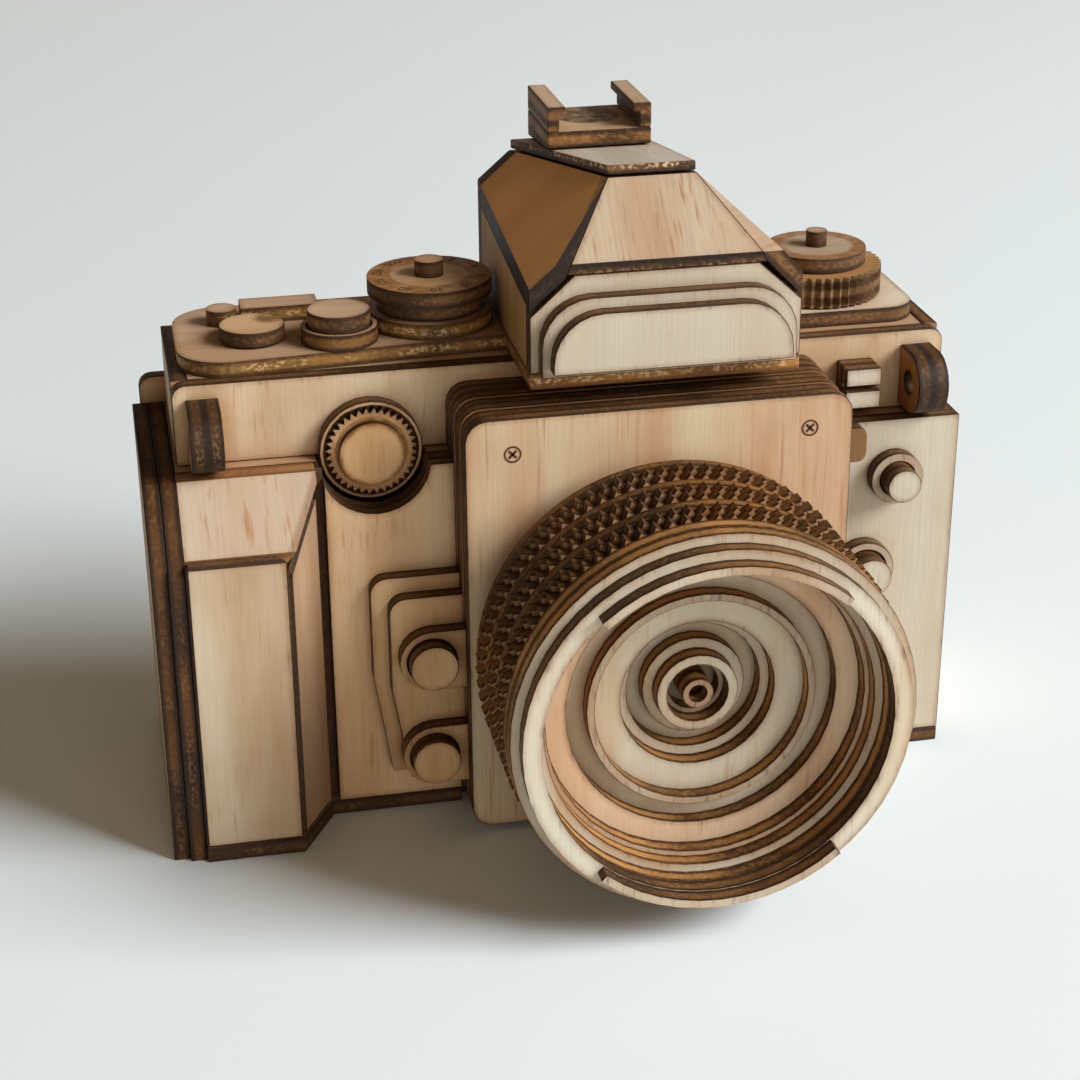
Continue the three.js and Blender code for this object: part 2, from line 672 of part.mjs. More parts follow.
function addPrism() {
  const prism = groupAt(camera, PRISM_X, 0, UPPER_TOP);
  const base = rectangle(-PRISM_HALF, PRISM_FRONT, PRISM_HALF, PRISM_BACK - GLUE);
  piece(prism, "prism_base", flat(base, SHEET));

  const foot = SHEET + GLUE;
  const plate = [
    [-PRISM_HALF, foot],
    [PRISM_HALF, foot],
    [PRISM_HALF, PLATE_SIDE],
    [PLATE_TOP_HALF, PLATE_TOP],
    [-PLATE_TOP_HALF, PLATE_TOP],
    [-PRISM_HALF, PLATE_SIDE],
  ];
  piece(prism, "nameplate_rear", upright(plate, PRISM_FRONT));
  const raised = (step) => {
    const half = PRISM_HALF - step * PLATE_STEP;
    const low = foot + (step - 1) * PLATE_STEP;
    const high = PLATE_TOP - PLATE_DROP[step - 1];
    const corner = PLATE_CORNER;
    return [
      [-half, low],
      [half, low],
      ...arc(half - corner, high - corner, corner, 0, Math.PI / 2, 6),
      ...arc(corner - half, high - corner, corner, Math.PI / 2, Math.PI, 6),
    ];
  };
  piece(prism, "nameplate_middle", upright(raised(1), PRISM_FRONT - SHEET));
  piece(prism, "nameplate_front", upright(raised(2), PRISM_FRONT - 2 * SHEET));

  const floor = facing(0, 0, -1, -foot);
  const front = facing(0, -1, 0, -PRISM_FRONT);
  const back = facing(0, 1, 0, PRISM_BACK - GLUE);
  const behindPlate = SHEET + GLUE;
  const overSlope = slopePlane.clone();
  overSlope.constant -= SHEET;
  const slopeSides = [slopeSide(-1), slopeSide(1)];
  const slopeBed = panel(
    overSlope,
    slopeSides.map((side) => [side, -GLUE]),
    2 * SHEET + GLUE,
  );
  for (const [side, name] of [
    [-1, "left"],
    [1, "right"],
  ]) {
    const wall = facing(side, 0, 0, PRISM_HALF);
    const facet = facetPlane(side);
    const wallCuts = [
      [floor, 0],
      [front, behindPlate],
      [back, SHEET],
      [facet, SHEET + GLUE],
    ];
    piece(prism, "prism_wall_" + name, panel(wall, wallCuts), shaded);
    const facetCuts = [
      [wall, 0],
      [front, 0],
      [back, SHEET],
      [slopePlane, 0],
      [roofPlane, GLUE],
    ];
    piece(prism, "prism_facet_" + name, cut(panel(facet, facetCuts), slopeBed), shaded);
  }
  const slopeCuts = [
    [front, 0],
    [slopeSides[0], 0],
    [slopeSides[1], 0],
    [roofPlane, GLUE],
    [facing(0, 0, -1, -PLATE_TOP), GLUE],
  ];
  piece(prism, "prism_slope", panel(slopePlane, slopeCuts));
  const rearCuts = [
    [floor, 0],
    [facing(-1, 0, 0, PRISM_HALF), 0],
    [facing(1, 0, 0, PRISM_HALF), 0],
    [facetPlane(-1), 0],
    [facetPlane(1), 0],
    [roofPlane, GLUE],
  ];
  piece(prism, "prism_rear", panel(back, rearCuts), shaded);

  const eyeHalf = EYEPIECE_WIDTH / 2;
  const eyeHigh = EYEPIECE_HEIGHT / 2;
  const border = EYEPIECE_BORDER;
  const frame = rounded(-eyeHalf, -eyeHigh, eyeHalf, eyeHigh, border);
  const hole = rounded(border - eyeHalf, border - eyeHigh, eyeHalf - border, eyeHigh - border, 2);
  const eyepiece = upright(frame, PRISM_BACK, 2 * SHEET, [hole]);
  piece(prism, "eyepiece_frame", eyepiece.translate(0, 0, EYEPIECE_Z));

  // The roof lies in its own sloping frame, y = 0 at its front edge.
  const roof = groupAt(prism, 0, ROOF_FRONT, ROOF_FRONT_Z);
  roof.rotation.x = -ROOF_FALL;
  const length = (ROOF_BACK - ROOF_FRONT) / Math.cos(ROOF_FALL);
  const top = [
    [-ROOF_FRONT_HALF, 0],
    [ROOF_FRONT_HALF, 0],
    [ROOF_BACK_RIGHT, length],
    [ROOF_BACK_LEFT, length],
  ];
  piece(roof, "prism_roof", flat(top, ROOF_SHEET, ROOF_SHEET - RUN));
  addShoe(prism);
}

// The shoe stands level: its base is a wedge that follows the roof's fall.
function addShoe(prism) {
  const seat = roofDrop(SHOE_FRONT) + ROOF_SHEET / Math.cos(ROOF_FALL) + RUN;
  const shoe = groupAt(prism, SHOE_X, SHOE_FRONT, seat);
  const half = SHOE_WIDTH / 2;
  const wedge = [
    [0, 0],
    [SHOE_LENGTH, -SHOE_LENGTH * Math.tan(ROOF_FALL)],
    [SHOE_LENGTH, SHEET],
    [0, SHEET],
  ];
  piece(shoe, "shoe_base", endways(wedge, -half, SHOE_WIDTH));
  const lipTop = 2 * SHEET + SHOE_LIP_THICK;
  const rail = (side) => [
    [side * half, SHEET + GLUE],
    [side * half, lipTop],
    [side * (half - SHOE_LIP), lipTop],
    [side * (half - SHOE_LIP), 2 * SHEET],
    [side * (half - SHOE_RISER), 2 * SHEET],
    [side * (half - SHOE_RISER), SHEET + GLUE],
  ];
  piece(shoe, "shoe_rail_left", upright(rail(-1), 0, SHOE_LENGTH), shaded);
  piece(shoe, "shoe_rail_right", upright(rail(1), 0, SHOE_LENGTH), shaded);
}

// Upright cylinder round the Z axis between two heights.
function peg(radius, bottom, top, steps = 24) {
  return cutSheet(circle(0, 0, radius, steps), [], top - bottom).translate(0, 0, bottom);
}

function addDecks() {
  const corner = DECK_CORNER;
  const quarter = Math.PI / 2;
  const inner = PRISM_X - PRISM_HALF - GLUE;
  const back = UPPER_DEPTH - GLUE;
  const left = [
    [inner, DECK_LEFT_INNER],
    [inner, back],
    ...arc(DECK_LEFT + corner, back - corner, corner, quarter, 2 * quarter, 8),
    ...arc(DECK_LEFT + corner, DECK_LEFT_FRONT + corner, corner, 2 * quarter, 3 * quarter, 8),
  ];
  const leftHoles = [
    circle(...SHUTTER_DIAL_AT, SPINDLE_R + RUN, 12),
    circle(...MODE_DIAL_AT, SPINDLE_R + RUN, 12),
    circle(...SHUTTER_AT, SHUTTER_STEM_R + RUN, 12),
  ];
  const bedded = SHEET + GLUE;
  const seatHole = [circle(...SHUTTER_DIAL_AT, SPINDLE_R + RUN, 12)];
  const seat = circle(...SHUTTER_DIAL_AT, SHUTTER_DIAL_R, 40);
  const post = circle(...POST_AT, POST_R, 24);
  const [windowX, windowY] = WINDOW_AT;
  const window = rectangle(windowX, windowY, windowX + WINDOW_SIZE[0], windowY + WINDOW_SIZE[1]);
  const deck = join(
    flat(left, DECK_TOP, PLY, leftHoles),
    flat(seat, DECK_TOP + SHEET, bedded, seatHole),
    flat(post, DECK_TOP + SHEET, bedded),
    flat(window, DECK_TOP + SHEET, bedded),
  );
  piece(camera, "deck_left", deck);

  const start = PRISM_X + PRISM_HALF + GLUE;
  const turn = DECK_RIGHT_CORNER;
  const right = [
    [start, DECK_RIGHT_FRONT],
    ...arc(DECK_RIGHT - turn, DECK_RIGHT_FRONT + turn, turn, -quarter, 0, 6),
    ...arc(DECK_RIGHT - turn, back - turn, turn, 0, quarter, 6),
    [start, back],
  ];
  const rightHoles = [circle(...RIGHT_DIAL_AT, SPINDLE_R + RUN, 12)];
  piece(camera, "deck_right", flat(right, DECK_TOP, PLY, rightHoles));
}

function addTopControls() {
  const bottom = SHEET - UPPER_HEIGHT / 2;
  const shutterDial = groupAt(camera, ...SHUTTER_DIAL_AT, DECK_TOP);
  const dial = join(
    peg(SHUTTER_NECK_R, SHEET + RUN, 2 * SHEET, 32),
    peg(SHUTTER_DIAL_R, 2 * SHEET, 3 * SHEET, 40),
    peg(SHUTTER_PIN_R, 3 * SHEET, 4 * SHEET),
    peg(SPINDLE_R, bottom, SHEET + 2 * RUN, 12),
  );
  piece(shutterDial, "shutter_dial", dial);

  const modeDial = groupAt(camera, ...MODE_DIAL_AT, DECK_TOP);
  const mode = join(peg(MODE_DIAL_R, RUN, SHEET, 32), peg(SPINDLE_R, bottom, 2 * RUN, 12));
  piece(modeDial, "mode_dial", mode);

  const shutter = groupAt(camera, ...SHUTTER_AT, DECK_TOP);
  const guide = [circle(0, 0, SHUTTER_CAP_R + RUN, 28)];
  piece(shutter, "shutter_collar", flat(circle(0, 0, COLLAR_R, 32), SHEET, PLY, guide));
  const press = join(
    peg(SHUTTER_CAP_R, SHUTTER_TRAVEL + RUN, 2 * SHEET, 28),
    peg(SHUTTER_STEM_R, bottom, SHEET, 12),
  );
  piece(shutter, "shutter_button", press);

  const rightDial = groupAt(camera, ...RIGHT_DIAL_AT, DECK_TOP);
  const tooth = RIGHT_DIAL_R / 14;
  const rim = toothed(RIGHT_DIAL_R, tooth, RIGHT_DIAL_TEETH);
  const bore = [circle(0, 0, SPINDLE_R + RUN, 12)];
  piece(rightDial, "right_dial_lower", flat(rim, 2 * SHEET, 2 * SHEET - RUN, bore), shaded);
  const upper = join(
    peg(RIGHT_TOP_R, 2 * SHEET + RUN, 3 * SHEET, 40),
    peg(RIGHT_PIN_R, 3 * SHEET, 4 * SHEET, 20),
    peg(SPINDLE_R, bottom, 2 * SHEET + 2 * RUN, 12),
  );
  piece(rightDial, "right_dial_upper", upper);
}

function addFrontDial() {
  const [x, z] = FRONT_DIAL_AT;
  const dial = groupAt(camera, x, 0, z);
  const seatFace = -SHEET / 2;
  const pinFace = -SHEET - RUN;
  const bezel = FRONT_WHEEL_R + RUN;
  const seat = [
    [0, pinFace],
    [SPINDLE_R, pinFace],
    [SPINDLE_R, seatFace],
    [bezel, seatFace],
    [bezel, -SHEET],
    [FRONT_DIAL_R, -SHEET],
    [FRONT_DIAL_R, -GLUE],
    [0, -GLUE],
  ];
  piece(dial, "front_dial_seat", turned(seat, 28));
  const wheelFace = -SHEET - 2 * RUN;
  const capFace = wheelFace - SHEET / 2;
  const bore = [circle(0, 0, SPINDLE_R + RUN, 12)];
  const rim = toothed(FRONT_WHEEL_R, FRONT_WHEEL_R / 8, FRONT_WHEEL_TEETH);
  const wheel = join(
    upright(rim, wheelFace, seatFace - RUN - wheelFace, bore),
    upright(circle(0, 0, FRONT_WHEEL_CAP_R, 32), capFace, wheelFace - capFace),
  );
  piece(dial, "front_dial", wheel);
}

// A button that stands in a bore: its inner end stays clear of the floor behind it.
function addButton(name, x, z, radius, front, floor) {
  const back = floor - PRESS - RUN;
  piece(groupAt(camera, x, 0, z), name, upright(circle(0, 0, radius, 24), front, back - front));
}

function addFrontControls() {
  const right = MOUNT_LEFT - GLUE;
  const bore = (z) => circle(FN_X, z, FN_R + RUN, 24);
  const bores = FN_Z.map(bore);
  const seatLeft = (z) => [
    [right, z - FN_SEAT_R],
    [right, z + FN_SEAT_R],
    ...arc(FN_X, z, FN_SEAT_R, Math.PI / 2, (3 * Math.PI) / 2, 10),
  ];
  const low = FN_Z[1] - FN_SEAT_R;
  const high = LENS_Z + BRACKET_RISE;
  const plate = (left, top, foot) => [
    [right, foot],
    [right, top],
    ...arc(left + BRACKET_STEP, top - BRACKET_STEP, BRACKET_STEP, Math.PI / 2, Math.PI, 5),
    [left, (top + low) / 2],
    [left + BRACKET_STEP, foot],
  ];
  const middleLeft = BRACKET_LEFT + BRACKET_STEP;
  const layers = [
    upright(plate(BRACKET_LEFT, high, low), FRONT_LEFT - SHEET, PLY),
    upright(
      plate(middleLeft, high - BRACKET_STEP, low),
      FRONT_LEFT - 2 * SHEET,
      SHEET,
      bores,
    ),
  ];
  for (const z of FN_Z) {
    layers.push(upright(seatLeft(z), FRONT_LEFT - 3 * SHEET, SHEET, [bore(z)]));
  }
  piece(camera, "fn_bracket", join(...layers));
  const fnFloor = FRONT_LEFT - SHEET;
  const fnFace = FRONT_LEFT - 4 * SHEET;
  addButton("fn_button_upper", FN_X, FN_Z[0], FN_R, fnFace, fnFloor);
  addButton("fn_button_lower", FN_X, FN_Z[1], FN_R, fnFace, fnFloor);

  const ringFace = FRONT - SHEET;
  const ring = (x, z, radius) =>
    upright(circle(x, z, radius + BUTTON_RING, 28), ringFace, PLY, [
      circle(x, z, radius + RUN, 24),
    ]);
  piece(camera, "side_button_ring", ring(...SIDE_BUTTON_AT, SIDE_BUTTON_R));
  addButton("side_button", ...SIDE_BUTTON_AT, SIDE_BUTTON_R, ringFace - BUTTON_PROUD, FRONT);
  piece(camera, "release_ring", ring(...RELEASE_AT, RELEASE_R));
  addButton("release_button", ...RELEASE_AT, RELEASE_R, ringFace - BUTTON_PROUD, FRONT);

  const blockRight = BLOCK_LEFT + BLOCK_WIDTH;
  const middle = BLOCK_BOTTOM + BLOCK_STEP;
  const block = join(
    upright(rectangle(BLOCK_LEFT, BLOCK_BOTTOM, blockRight, middle), -2 * SHEET, 2 * SHEET - GLUE),
    upright(rectangle(BLOCK_LEFT, middle, blockRight, middle + 1), -SHEET, PLY),
    upright(
      rectangle(BLOCK_LEFT, middle + 1, blockRight, middle + 1 + BLOCK_STEP),
      -2 * SHEET,
      2 * SHEET - GLUE,
    ),
  );
  piece(camera, "front_block", block);
}

// A strap lug: a D-shaped ear of two sheets, its flat edge on the housing.
function addLugs() {
  const ear = [
    [-GLUE, LUG_Z - LUG_R],
    [-GLUE, LUG_Z + LUG_R],
    ...arc(LUG_Y, LUG_Z, LUG_R, Math.PI / 2, (3 * Math.PI) / 2, 14),
  ];
  const eye = [circle(LUG_Y, LUG_Z, LUG_HOLE_R, 20)];
  const thickness = 2 * PLY;
  for (const [side, name] of [
    [-1, "left"],
    [1, "right"],
  ]) {
    const left = side * LUG_MIDDLE - thickness / 2;
    piece(camera, "strap_lug_" + name, endways(ear, left, thickness, eye), shaded);
  }
}

addLowerBody();
addGrip();
addUpperHousing();
addMount();
addLens();
addPrism();
addDecks();
addTopControls();
addFrontDial();
addFrontControls();
addLugs();

export default camera;
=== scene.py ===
import math

import bmesh
import bpy
from mathutils import Matrix, Quaternion, Vector


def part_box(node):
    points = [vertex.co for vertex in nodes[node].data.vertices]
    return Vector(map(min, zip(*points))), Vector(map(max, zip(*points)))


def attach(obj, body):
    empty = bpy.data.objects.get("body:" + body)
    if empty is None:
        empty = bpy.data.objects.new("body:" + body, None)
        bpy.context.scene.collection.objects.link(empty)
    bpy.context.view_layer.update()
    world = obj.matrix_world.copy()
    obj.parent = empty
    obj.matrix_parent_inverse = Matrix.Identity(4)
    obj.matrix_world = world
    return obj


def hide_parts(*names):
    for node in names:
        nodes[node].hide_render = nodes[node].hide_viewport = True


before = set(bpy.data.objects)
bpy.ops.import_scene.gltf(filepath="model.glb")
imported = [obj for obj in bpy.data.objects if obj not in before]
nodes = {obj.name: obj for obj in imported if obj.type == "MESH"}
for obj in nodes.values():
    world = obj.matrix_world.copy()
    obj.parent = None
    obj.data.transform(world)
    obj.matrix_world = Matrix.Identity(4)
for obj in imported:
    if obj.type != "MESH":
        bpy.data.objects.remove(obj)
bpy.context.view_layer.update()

# The view: a camera on a tripod, in front of the toy, a little to its left and above it.
# The lens is long, so the faces hardly converge, and the frame is square.
scene = bpy.context.scene
scene.view_settings.view_transform = "Standard"
view = bpy.data.cameras.new("view")
view.lens = 75.49
view.sensor_width = 36.0
view.clip_start = 0.01
eye = bpy.data.objects.new("view", view)
scene.collection.objects.link(eye)
eye.location = (-0.0828, -0.3988, 0.2266)
looked_at = Vector((-0.00564, -0.017, 0.04946))
roll = Quaternion((0, 0, 1), math.radians(-0.47))
eye.rotation_mode = "QUATERNION"
eye.rotation_quaternion = (looked_at - eye.location).to_track_quat("-Z", "Y") @ roll
scene.camera = eye


# Lower body: plywood walls, base and shelf, glued edge to edge and bare of varnish.
# The laser leaves pale faces with a smoky rim, and dark edges where the veneers show as lines.
def linear(hex_colour):
    channels = [int(hex_colour[i:i + 2], 16) / 255 for i in (1, 3, 5)]
    return [c / 12.92 if c <= 0.04045 else ((c + 0.055) / 1.055) ** 2.4 for c in channels] + [1.0]


def add(tree, kind, inputs, out=0, **settings):
    made = tree.nodes.new(kind)
    for key, value in settings.items():
        setattr(made, key, value)
    for key, value in inputs.items():
        if isinstance(value, bpy.types.NodeSocket):
            tree.links.new(value, made.inputs[key])
        else:
            made.inputs[key].default_value = value
    return made.outputs[out]


SHEET = 0.003


# Birch plywood, sanded and laser cut: a cream to tan face with rust-red streaks, a smoky rim, soot
# and painted shade where pieces meet, and a burnt edge, nearly black along both faces and golden in its core.
# The face direction tells the two apart, and sheet_start says where a piece's first sheet begins.
def plywood(name, face, grain, pale="#D6BE9C", tan="#C19C75", streak="#A9703F", streaks=0.5,
            streak_mm=(9, 1.0), smoke_and_shade=0.5, rim=0.75, char="#35210F", gold="#6E4A26", core="#B98C56",
            lit_core=0.2, combed=0.06, buried=0.3, burnt_ring=None, also_face=None):
    material = bpy.data.materials.new(name)
    material.use_nodes = True
    tree = material.node_tree
    shader = tree.nodes["Principled BSDF"]
    face, grain = Vector(face).normalized(), Vector(grain).normalized()
    material["face"] = list(face)

    # Each piece is cut from its own place in a board of 0.9 by 0.7 metres.
    board = (0.9, 0.7, 0.0)
    place = add(tree, "ShaderNodeTexCoord", {}, out="Object")
    own = add(tree, "ShaderNodeObjectInfo", {}, out="Random")
    along = add(tree, "ShaderNodeVectorMath", {0: place, 1: grain}, out="Value", operation="DOT_PRODUCT")
    across = add(tree, "ShaderNodeVectorMath", {0: place, 1: face.cross(grain)}, out="Value",
                 operation="DOT_PRODUCT")
    depth = add(tree, "ShaderNodeVectorMath", {0: place, 1: face}, out="Value", operation="DOT_PRODUCT")
    in_sheet = add(tree, "ShaderNodeCombineXYZ", {"X": along, "Y": across, "Z": depth})
    shift = add(tree, "ShaderNodeVectorMath", {0: board, "Scale": own}, operation="SCALE")
    moved = add(tree, "ShaderNodeVectorMath", {0: in_sheet, 1: shift})

    # The size of each pattern in millimetres: along the grain, across it and through the sheet.
    pattern = {}
    for key, along_mm, across_mm, through_mm, detail in (
            ("bands", 90, 11, 400, 3.0), ("pores", 14, 0.6, 400, 2.0), ("patches", 40, 14, 400, 2.0),
            ("streaks", streak_mm[0], streak_mm[1], 400, 2.0), ("drift", 24, 24, 24, 3.0),
            ("ticks", 4, 0.9, 400, 2.0), ("scars", 0.9, 0.9, 0.6, 2.0), ("glow", 16, 16, 30, 2.0),
            ("bare", 6, 6, 30, 2.0), ("mottle", 2.2, 2.2, 2.2, 3.0)):
        size = (1000 / along_mm, 1000 / across_mm, 1000 / through_mm)
        stretched = add(tree, "ShaderNodeMapping", {"Vector": moved, "Scale": size})
        pattern[key] = add(tree, "ShaderNodeTexNoise", {"Vector": stretched, "Scale": 1.0, "Detail": detail})

    # The face: bands, combed pores and streaks.
    banded = add(tree, "ShaderNodeMapRange", {"Value": pattern["bands"], "From Min": 0.36, "From Max": 0.7})
    colour = add(tree, "ShaderNodeMix", {"Factor": banded, 6: linear(pale), 7: linear(tan)}, out=2,
                 data_type="RGBA")
    comb = add(tree, "ShaderNodeMapRange", {"Value": pattern["pores"], "From Min": 0.3, "From Max": 0.75,
                                            "To Min": 1.0 + combed / 3, "To Max": 1.0 - combed})
    colour = add(tree, "ShaderNodeMix", {"Factor": 1.0, 6: colour, 7: comb}, out=2, data_type="RGBA",
                 blend_type="MULTIPLY")
    line = add(tree, "ShaderNodeMapRange", {"Value": pattern["streaks"], "From Min": 0.57, "From Max": 0.74,
                                            "To Max": streaks})
    patch = add(tree, "ShaderNodeMapRange", {"Value": pattern["patches"], "From Min": 0.43, "From Max": 0.57})
    drawn = add(tree, "ShaderNodeMath", {0: line, 1: patch}, operation="MULTIPLY")
    colour = add(tree, "ShaderNodeMix", {"Factor": drawn, 6: colour, 7: linear(streak)}, out=2,
                 data_type="RGBA")

    # The laser's traces on the face: a smoky rim and ticks along the grain in it; near other pieces, soot and
    # painted shade.
    rim_width, rim_tone, tick_tone = 0.0014, linear("#8A5A2E"), linear("#3E260F")
    soot_and_shade_reach, soot_and_shade_tone = 0.006, linear("#9A6A3C")
    inner = add(tree, "ShaderNodeAmbientOcclusion", {"Distance": rim_width}, out="AO", inside=True,
                only_local=True, samples=6)
    uneven = add(tree, "ShaderNodeMapRange", {"Value": pattern["drift"], "From Min": 0.3, "From Max": 0.65,
                                              "To Min": 0.35})
    seared = add(tree, "ShaderNodeMapRange", {"Value": inner, "From Min": 0.92, "From Max": 0.5,
                                              "To Max": rim})
    seared = add(tree, "ShaderNodeMath", {0: seared, 1: uneven}, operation="MULTIPLY")
    colour = add(tree, "ShaderNodeMix", {"Factor": seared, 6: colour, 7: rim_tone}, out=2, data_type="RGBA")
    ticked = add(tree, "ShaderNodeMapRange", {"Value": pattern["ticks"], "From Min": 0.56, "From Max": 0.7})
    ticked = add(tree, "ShaderNodeMath", {0: ticked, 1: seared}, operation="MULTIPLY")
    colour = add(tree, "ShaderNodeMix", {"Factor": ticked, 6: colour, 7: tick_tone}, out=2, data_type="RGBA")
    met = add(tree, "ShaderNodeAmbientOcclusion", {"Distance": soot_and_shade_reach}, out="AO", samples=6)
    soot_and_shade = add(tree, "ShaderNodeMapRange", {"Value": met, "From Min": 0.8, "From Max": 0.25, "To Max": smoke_and_shade})
    haze = add(tree, "ShaderNodeMapRange", {"Value": pattern["drift"], "From Min": 0.5, "From Max": 0.8,
                                            "To Max": smoke_and_shade * 0.6})
    haze_soot_and_shade = add(tree, "ShaderNodeMath", {0: soot_and_shade, 1: haze}, use_clamp=True)
    colour = add(tree, "ShaderNodeMix", {"Factor": haze_soot_and_shade, 6: colour, 7: soot_and_shade_tone}, out=2, data_type="RGBA")
    # In deep recesses the face goes towards the burnt tone: painted shade.
    sunk_soot_and_shade = add(tree, "ShaderNodeMapRange", {"Value": met, "From Min": buried, "From Max": buried * 0.4,
                                            "To Max": 0.95})
    colour = add(tree, "ShaderNodeMix", {"Factor": sunk_soot_and_shade, 6: colour, 7: linear(char)}, out=2, data_type="RGBA")

    # A burnt ring or spot on the face, with a wavering outline and a blotched tone.
    if burnt_ring:
        waver = 0.0012
        ring_start, ring_end, fade = (burnt_ring[key] / 1000 for key in ("start_mm", "end_mm", "fade_mm"))
        offset = add(tree, "ShaderNodeVectorMath", {0: place, 1: burnt_ring["centre"]}, operation="SUBTRACT")
        turned = add(tree, "ShaderNodeVectorMath", {0: offset, 1: face}, operation="CROSS_PRODUCT")
        reach = add(tree, "ShaderNodeVectorMath", {0: turned}, out="Value", operation="LENGTH")
        wavy = add(tree, "ShaderNodeMath", {0: pattern["mottle"], 1: waver, 2: reach},
                   operation="MULTIPLY_ADD")
        begun = add(tree, "ShaderNodeMapRange", {"Value": wavy, "From Min": ring_start,
                                                 "From Max": ring_start + fade})
        ended = add(tree, "ShaderNodeMapRange", {"Value": wavy, "From Min": ring_end + fade,
                                                 "From Max": ring_end})
        ring = add(tree, "ShaderNodeMath", {0: begun, 1: ended}, operation="MULTIPLY")
        blotch = add(tree, "ShaderNodeMapRange", {"Value": pattern["mottle"], "From Min": 0.3,
                                                  "From Max": 0.6, "To Min": 0.35, "To Max": 0.95})
        ring = add(tree, "ShaderNodeMath", {0: ring, 1: blotch}, operation="MULTIPLY")
        colour = add(tree, "ShaderNodeMix", {"Factor": ring, 6: colour, 7: linear(burnt_ring["tone"])}, out=2,
                     data_type="RGBA")

    # The edge: a wave with one period to a sheet runs from burnt faces to the golden core, and a
    # pale core breaks through in dashes.
    start = add(tree, "ShaderNodeAttribute", {}, out="Fac", attribute_type="OBJECT",
                attribute_name="sheet_start")
    within = add(tree, "ShaderNodeMath", {0: depth, 1: start}, operation="SUBTRACT")
    phase = add(tree, "ShaderNodeMath", {0: within, 1: 2 * math.pi / SHEET}, operation="MULTIPLY")
    layer = add(tree, "ShaderNodeMath", {0: phase}, operation="COSINE")
    heart = add(tree, "ShaderNodeMapRange", {"Value": layer, "From Min": 0.75, "From Max": -0.5})
    glow = add(tree, "ShaderNodeMapRange", {"Value": pattern["glow"], "From Min": 0.34, "From Max": 0.6,
                                            "To Min": 0.2})
    golden = add(tree, "ShaderNodeMath", {0: heart, 1: glow}, operation="MULTIPLY")
    scarred = add(tree, "ShaderNodeMapRange", {"Value": pattern["scars"], "From Min": 0.35, "From Max": 0.7,
                                               "To Min": -0.14, "To Max": 0.2})
    golden = add(tree, "ShaderNodeMath", {0: golden, 1: scarred}, use_clamp=True)
    edge = add(tree, "ShaderNodeMix", {"Factor": golden, 6: linear(char), 7: linear(gold)}, out=2,
               data_type="RGBA")
    middle = add(tree, "ShaderNodeMapRange", {"Value": layer, "From Min": 0.1, "From Max": -0.7})
    dashes = add(tree, "ShaderNodeMapRange", {"Value": pattern["scars"], "From Min": 0.48, "From Max": 0.6,
                                              "To Max": lit_core})
    places = add(tree, "ShaderNodeMapRange", {"Value": pattern["bare"], "From Min": 0.4, "From Max": 0.58})
    dashes = add(tree, "ShaderNodeMath", {0: dashes, 1: middle}, operation="MULTIPLY")
    dashes = add(tree, "ShaderNodeMath", {0: dashes, 1: places}, operation="MULTIPLY")
    edge = add(tree, "ShaderNodeMix", {"Factor": dashes, 6: edge, 7: linear(core)}, out=2, data_type="RGBA")

    # A surface within 18 degrees of the sheet's direction is its face, and any other is its edge.
    least_facing = 0.95
    normal = add(tree, "ShaderNodeNewGeometry", {}, out="True Normal")
    facing = add(tree, "ShaderNodeVectorMath", {0: normal, 1: face}, out="Value", operation="DOT_PRODUCT")
    square = add(tree, "ShaderNodeMath", {0: facing}, operation="ABSOLUTE")
    if also_face:
        second = add(tree, "ShaderNodeVectorMath", {0: normal, 1: also_face}, out="Value",
                     operation="DOT_PRODUCT")
        second = add(tree, "ShaderNodeMath", {0: second}, operation="ABSOLUTE")
        square = add(tree, "ShaderNodeMath", {0: square, 1: second}, operation="MAXIMUM")
    on_face = add(tree, "ShaderNodeMath", {0: square, 1: least_facing}, operation="GREATER_THAN")
    skin = add(tree, "ShaderNodeMix", {"Factor": on_face, 6: edge, 7: colour}, out=2, data_type="RGBA")
    matt = add(tree, "ShaderNodeMapRange", {"Value": pattern["pores"], "To Min": 0.55, "To Max": 0.72})
    relief = add(tree, "ShaderNodeMix", {"Factor": on_face, 2: pattern["scars"], 3: pattern["pores"]})
    bump = add(tree, "ShaderNodeBump", {"Height": relief, "Strength": 0.15, "Distance": 0.0003})
    tree.links.new(skin, shader.inputs["Base Color"])
    tree.links.new(matt, shader.inputs["Roughness"])
    tree.links.new(bump, shader.inputs["Normal"])
    shader.inputs["Specular IOR Level"].default_value = 0.3
    return material


EASED = 0.00018


# Every cut edge is eased by a fifth of a millimetre, and the round pieces shade as round.
# The first sheet begins at the level where most of the piece's face lies.
def dress(name, material, bevel=EASED, smooth_below=28):
    piece = nodes[name]
    face = Vector(material["face"])
    levels = {}
    for polygon in piece.data.polygons:
        if abs(polygon.normal.dot(face)) > 0.99:
            level = round(polygon.center.dot(face), 5)
            levels[level] = levels.get(level, 0.0) + polygon.area
    piece["sheet_start"] = max(levels, key=levels.get)
    piece.data.materials.clear()
    piece.data.materials.append(material)
    for polygon in piece.data.polygons:
        polygon.use_smooth = True
    weld = piece.modifiers.new("weld", "WELD")
    weld.merge_threshold = 0.000002
    if bevel:
        whole = piece.modifiers.new("whole_faces", "DECIMATE")
        whole.decimate_type = "DISSOLVE"
        whole.angle_limit = math.radians(0.5)
        arris = piece.modifiers.new("arris", "BEVEL")
        arris.width = bevel
        arris.segments = 1
        arris.limit_method = "ANGLE"
        arris.angle_limit = math.radians(35)
    crease = piece.modifiers.new("crease", "EDGE_SPLIT")
    crease.split_angle = math.radians(smooth_below)


